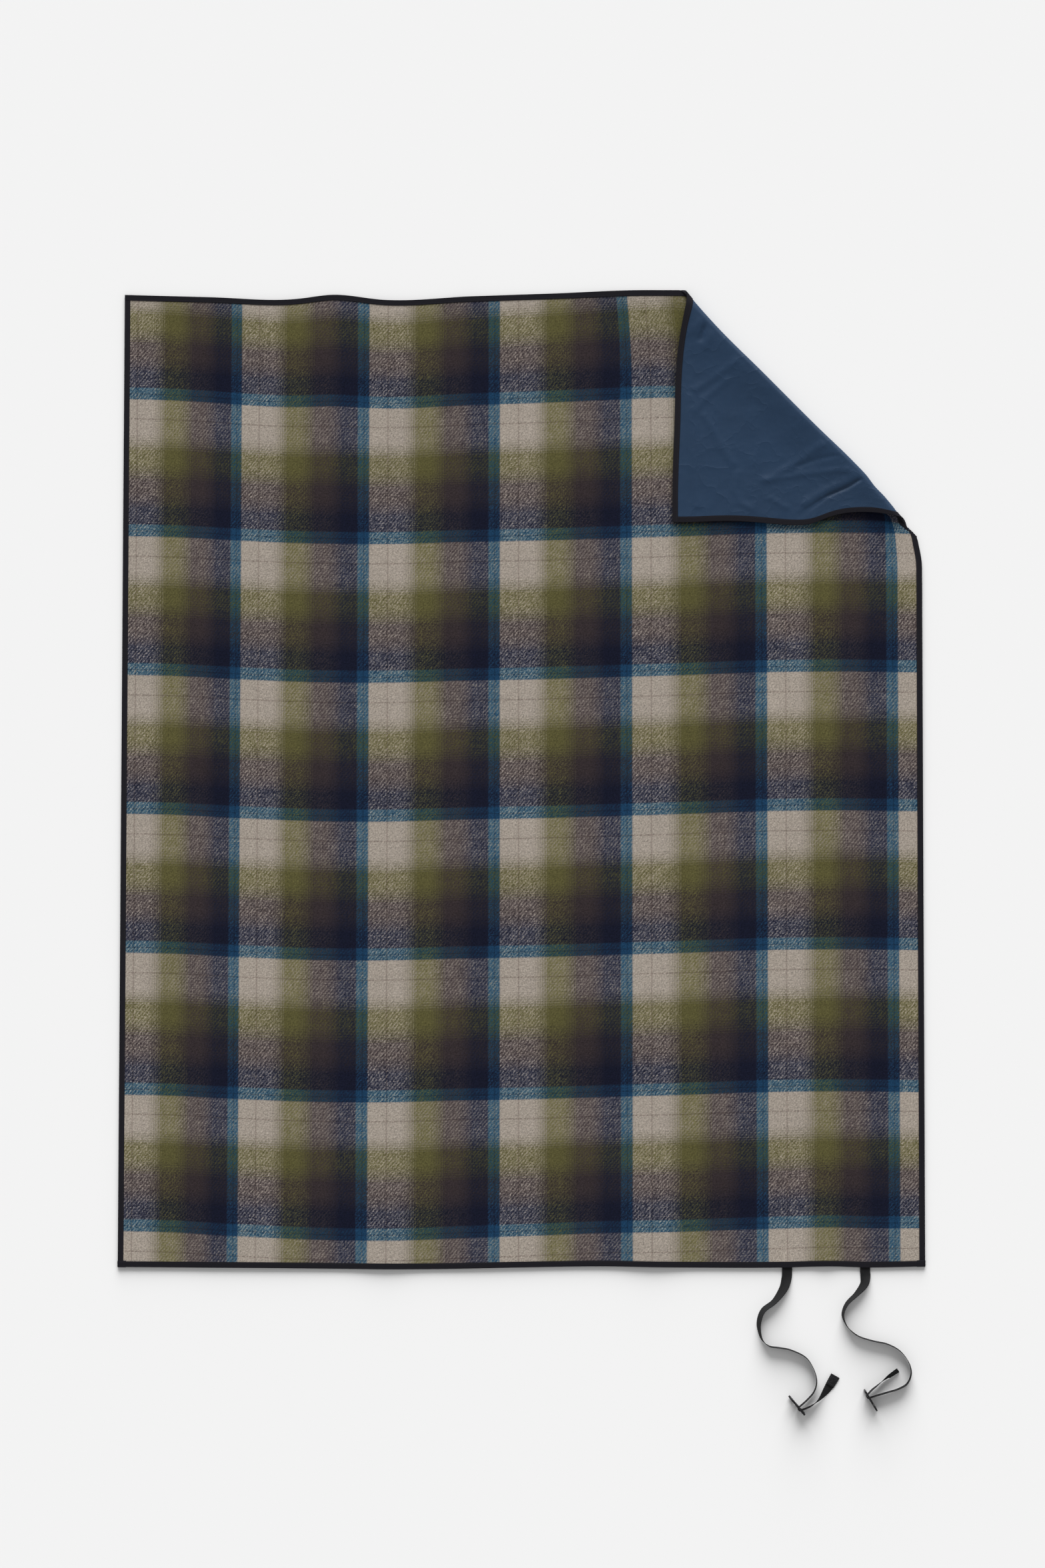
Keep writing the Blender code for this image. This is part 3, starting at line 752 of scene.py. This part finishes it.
def make_blanket():
    wool = add_cloth("wool_cloth", WOOL_MID, WOOL, wool_material(), "wool", "wool_face", "corner_wool_face")
    nylon = add_cloth("nylon_cloth", NYLON_MID, NYLON, nylon_material(), "nylon", "nylon_backing",
                      "corner_nylon_backing")
    tape = tape_material()
    turn = FOLD_START[0]
    top = spaced(-HALF_X, HALF_X, 0.010, [(turn - 0.05, turn + 0.06, 0.0015), (turn + 0.06, 0.8, 0.005)])
    far = add_tape("tape_far_edge", lambda m, inset: (m, np.full(len(m), HALF_Y - inset)), top, STACK, tape,
                   "binding_far_edge", "corner_binding_far_edge")
    turn = FOLD_START[1] + FOLD_LENGTH * ALONG[1]
    side = spaced(-HALF_Y, HALF_Y, 0.010, [(turn - 0.05, turn + 0.12, 0.0015), (turn + 0.12, 1.0, 0.005)])
    right = add_tape("tape_right", lambda m, inset: (np.full(len(m), HALF_X - inset), m), side[1:-1],
                     STACK - UNDERLAP, tape, "binding_right", "corner_binding_right")
    left = add_tape("tape_left", lambda m, inset: (np.full(len(m), -HALF_X + inset), m),
                    spaced(-HALF_Y, HALF_Y, 0.008)[1:-1], STACK - UNDERLAP, tape, "binding_left")
    near = add_tape("tape_strap_edge", lambda m, inset: (m, np.full(len(m), -HALF_Y + inset)),
                    spaced(-HALF_X, HALF_X, 0.004), STACK, tape, "binding_strap_edge")
    ends = []
    for label, sign in (("left", -1), ("right", 1)):
        marks = np.linspace(HALF_X - END_LENGTH, HALF_X + END_PROUD, 9) * sign
        ends.append(add_tape("tape_end_" + label, lambda m, inset: (m, np.full(len(m), -HALF_Y + inset)),
                             np.sort(marks), STACK + END_PROUD, tape, inset=-END_PROUD,
                             face=TAPE_FACE + 2 * END_PROUD))
    for piece in (wool, far, right):
        hang_on_fold(piece)
    hang_on_fold(nylon)
    for piece in (left, near, *ends):
        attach(piece, "blanket")


# Straps.

def smooth_route(points):
    """Points on a Catmull-Rom curve through the laid points."""
    laid = [Vector(point) for point in points]
    padded = [2 * laid[0] - laid[1]] + laid + [2 * laid[-1] - laid[-2]]
    route = [laid[0]]
    for a, b, c, d in zip(padded, padded[1:], padded[2:], padded[3:]):
        steps = max(1, round((c - b).xy.length / ROUTE_STEP))
        for i in range(1, steps + 1):
            p = i / steps
            route.append(0.5 * (2 * b + (c - a) * p + (2 * a - 5 * b + 4 * c - d) * p ** 2
                                + (3 * b - a - 3 * c + d) * p ** 3))
    return route


def loop_round_bar(strap, bar):
    turn = []
    for i in range(LOOP_STEPS + 1):
        angle = math.radians(strap["arrives"] + i / LOOP_STEPS * (strap["leaves"] - strap["arrives"]))
        turn.append((bar.x + LOOP_RADIUS * math.cos(angle), bar.y + LOOP_RADIUS * math.sin(angle), 90,
                     BUCKLE_LIFT))
    return turn


def strap_frames(strap, bar):
    """The webbing's middle, and the directions across it and out of its face, along its route."""
    route = smooth_route(strap["run"] + loop_round_bar(strap, bar) + strap["tail"])
    frames = []
    for i, (x, y, lean, lift) in enumerate(route):
        ahead = (route[min(i + 1, len(route) - 1)] - route[max(i - 1, 0)]).xy
        side = Vector((-ahead.y, ahead.x, 0)).normalized()
        angle = math.radians(lean)
        height = lift + (WEB_WIDTH * math.sin(angle) + WEB_THICK * math.cos(angle)) / 2
        up = Vector((0, 0, 1))
        frames.append((Vector((x, y, height)), side * math.cos(angle) + up * math.sin(angle),
                       up * math.cos(angle) - side * math.sin(angle)))
    return frames


def webbing_section(width):
    """Round-edged section with low lengthwise ribs, as (across, out)."""
    half, columns = width / 2, 18
    section = []
    for side in (1, -1):
        for i in range(columns + 1):
            across = -half + width * i / columns
            rib = 0.00007 * math.cos(2 * math.pi * across / (width / 5))
            edge = math.sqrt(max(0.0, 1 - (abs(across) / half) ** 10))
            section.append((side * across, side * (WEB_THICK / 2 - 0.00007 + rib) * edge))
    return section[:columns] + section[columns + 1:-1]


def add_webbing(name, frames, width, material, *replaced):
    section = webbing_section(width)
    count = len(section)
    points, coordinates, run = [], [], 0.0
    for i, (middle, across, out) in enumerate(frames):
        run += (middle - frames[i - 1][0]).length if i else 0.0
        for a, b in section:
            points.append(middle + across * a + out * b)
            coordinates.append((run, a + width))
    faces = []
    for i in range(len(frames) - 1):
        for j in range(count):
            k = (j + 1) % count
            faces.append((i * count + j, i * count + k, (i + 1) * count + k, (i + 1) * count + j))
    faces.append(tuple(range(count)))
    faces.append(tuple(range(len(points) - count, len(points)))[::-1])
    mesh = bpy.data.meshes.new(name)
    mesh.from_pydata(points, [], faces)
    shape = bmesh.new()
    shape.from_mesh(mesh)
    bmesh.ops.recalc_face_normals(shape, faces=shape.faces)
    shape.to_mesh(mesh)
    shape.free()
    set_uv(mesh, coordinates)
    return add_piece(name, smooth(mesh), material, "webbing", *replaced)


def add_stitches(name, rows, material, slot):
    """Short raised threads in rows. A row has a start, an end and the face's outward direction."""
    points, faces = [], []
    for start, end, out in rows:
        length = (end - start).length
        ahead = (end - start) / length
        side = ahead.cross(out).normalized()
        count = max(1, round(length / STITCH_PITCH))
        for i in range(count):
            middle = start + ahead * (i + 0.5) * length / count
            first = len(points)
            for along, half in ((-0.0010, 0.00012), (-0.0004, 0.00022), (0.0004, 0.00022), (0.0010, 0.00012)):
                for j in range(6):
                    angle = 2 * math.pi * j / 6
                    points.append(middle + ahead * along + side * half * math.cos(angle)
                                  + out * half * math.sin(angle))
            for ring in range(3):
                for j in range(6):
                    a, b = first + ring * 6 + j, first + ring * 6 + (j + 1) % 6
                    faces.append((a, b, b + 6, a + 6))
            faces.append(tuple(range(first, first + 6))[::-1])
            faces.append(tuple(range(first + 18, first + 24)))
    mesh = bpy.data.meshes.new(name)
    mesh.from_pydata(points, [], faces)
    return add_piece(name, smooth(mesh), material, slot)


def box_rows(frames, lift):
    """The four sides and two diagonals of a box stitch on the webbing's face between two frames."""
    half = WEB_WIDTH / 2 - 0.0022
    corners = []
    for middle, across, out in (frames[2], frames[-3]):
        corners.append([middle + across * half * side + out * lift for side in (-1, 1)])
    (a, b), (c, d) = corners
    out = frames[len(frames) // 2][2] * (1 if lift > 0 else -1)
    return [(a, b, out), (b, d, out), (d, c, out), (c, a, out), (a, d, out), (b, c, out)]


# Buckles.

def rounded_box(x0, x1, y0, y1, radius):
    points = []
    centres = [(x1 - radius, y1 - radius, 0), (x0 + radius, y1 - radius, 90),
               (x0 + radius, y0 + radius, 180), (x1 - radius, y0 + radius, 270)]
    for x, y, start in centres:
        for i in range(7):
            angle = math.radians(start + 15 * i)
            points.append((x + radius * math.cos(angle), y + radius * math.sin(angle)))
    return points


def plate_outlines():
    tip, half = TONGUE
    body = rounded_box(BACK_BAR[0], FRONT_BAR[1], -BUCKLE_HALF, BUCKLE_HALF, 0.002)
    tongue = [(FRONT_BAR[1], -half), (tip - half, -half), (tip - half / 3, -half * 0.8), (tip, -half / 2),
              (tip, half / 2), (tip - half / 3, half * 0.8), (tip - half, half), (FRONT_BAR[1], half)]
    slot_half = BUCKLE_HALF - RAIL
    return [body + tongue, rounded_box(BAR_HALF, FRONT_BAR[0], -slot_half, slot_half, 0.0006),
            rounded_box(BACK_BAR[1], -BAR_HALF, -slot_half, slot_half, 0.0006)]


def arm_outline(side):
    outline = [(GAP, -0.0018), (0.005, -0.0018), (0.009, -0.0022), (0.013, -0.0029), (0.0165, -0.0034),
               (0.0180, -0.0030), (0.0187, -0.0020), (0.0191, -0.0008), (0.0190, 0.0004), (0.0180, 0.0016),
               (0.0165, 0.0026), (0.0148, 0.0036), (0.0130, 0.0042), (0.0108, 0.0045), (0.0085, 0.0044),
               (0.0066, 0.0039), (0.0050, 0.0030), (0.0030, 0.0018), (GAP, 0.0016)]
    return [(x, side * y) for x, y in outline]


def plate_mesh(name, outlines, thickness, place):
    """A plate with rounded edges, standing up on its side, as a mesh."""
    rounding = 0.0005
    curve = bpy.data.curves.new(name, "CURVE")
    curve.dimensions = "2D"
    curve.fill_mode = "BOTH"
    curve.extrude = thickness / 2 - rounding
    curve.bevel_depth = rounding
    curve.bevel_resolution = 3
    curve.offset = -rounding
    for outline in outlines:
        spline = curve.splines.new("POLY")
        spline.points.add(len(outline) - 1)
        for point, (x, y) in zip(spline.points, outline):
            point.co = (x, y, 0, 1)
        spline.use_cyclic_u = True
    maker = bpy.data.objects.new(name + "_outline", curve)
    bpy.context.scene.collection.objects.link(maker)
    mesh = bpy.data.meshes.new_from_object(maker.evaluated_get(bpy.context.evaluated_depsgraph_get()))
    bpy.data.objects.remove(maker)
    bpy.data.curves.remove(curve)
    mesh.transform(place)
    mesh.name = name
    mesh.materials.clear()
    return mesh


def sharp_smooth(mesh):
    mesh.shade_smooth()
    mesh.set_sharp_from_angle(angle=math.radians(35))
    return mesh


def add_buckle(side, strap, material):
    """The frame and two arms, each on its own body. Returns them."""
    name = side + "_buckle"
    pivot = Vector(JOINTS[name + "_swivel"]["pos_m"])
    swivel = Matrix.LocRotScale(pivot, Matrix.Rotation(math.radians(strap["angle"]), 3, "Z"), None)
    upright = Matrix.Rotation(QUARTER, 4, "X")
    mesh = plate_mesh(name + "_body", plate_outlines(), BUCKLE_THICK, swivel @ upright)
    body = add_piece(name + "_body", sharp_smooth(mesh), material, "buckle", name + "_frame")
    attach(body, name)
    arms = []
    for sign, label in ((1, "upper"), (-1, "lower")):
        root = Matrix.Translation((FRONT_BAR[1], 0, sign * ARM_ROOT_Y))
        mesh = plate_mesh(f"{name}_{label}_latch", [arm_outline(sign)], ARM_THICK, swivel @ root @ upright)
        arm = add_piece(mesh.name, sharp_smooth(mesh), material, "buckle", f"{name}_{label}_arm")
        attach(arm, f"{side}_{label}_arm")
        arms.append(arm)
    return [body, *arms]


def make_strap(side, webbing, plastic, thread):
    strap = STRAPS[side]
    bar = Vector(JOINTS[side + "_buckle_swivel"]["pos_m"])
    frames = strap_frames(strap, bar)
    middle, across, out = frames[0]
    sewn_in = [(middle + Vector((0, inside, 0)), across, out) for inside in SEWN_IN]
    frames = sewn_in + frames
    web = add_webbing(side + "_webbing", frames, WEB_WIDTH, webbing, side + "_strap")

    lengths = [(b[0] - a[0]).length for a, b in zip(frames, frames[1:])]
    first = len(frames) - 1
    while sum(lengths[first:]) < HEM:
        first -= 1
    beside = WEB_THICK + GAP / 3
    hem_frames = [(point + face * beside, cross, face) for point, cross, face in frames[first:]]
    hem = add_webbing(side + "_webbing_hem", hem_frames, WEB_WIDTH - 0.0006, webbing, side + "_strap_hem")
    rows = box_rows(hem_frames, WEB_THICK / 2) + box_rows(frames[first:], -WEB_THICK / 2)
    stitches = add_stitches(side + "_hem_stitches", rows, thread, "webbing")
    for piece in (web, hem, stitches):
        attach(piece, "blanket")
    buckle = add_buckle(side, strap, plastic)


def main():
    make_stage()
    webbing, plastic, thread = webbing_material(), plastic_material(), thread_material()
    for side in STRAPS:
        make_strap(side, webbing, plastic, thread)
    make_blanket()


main()
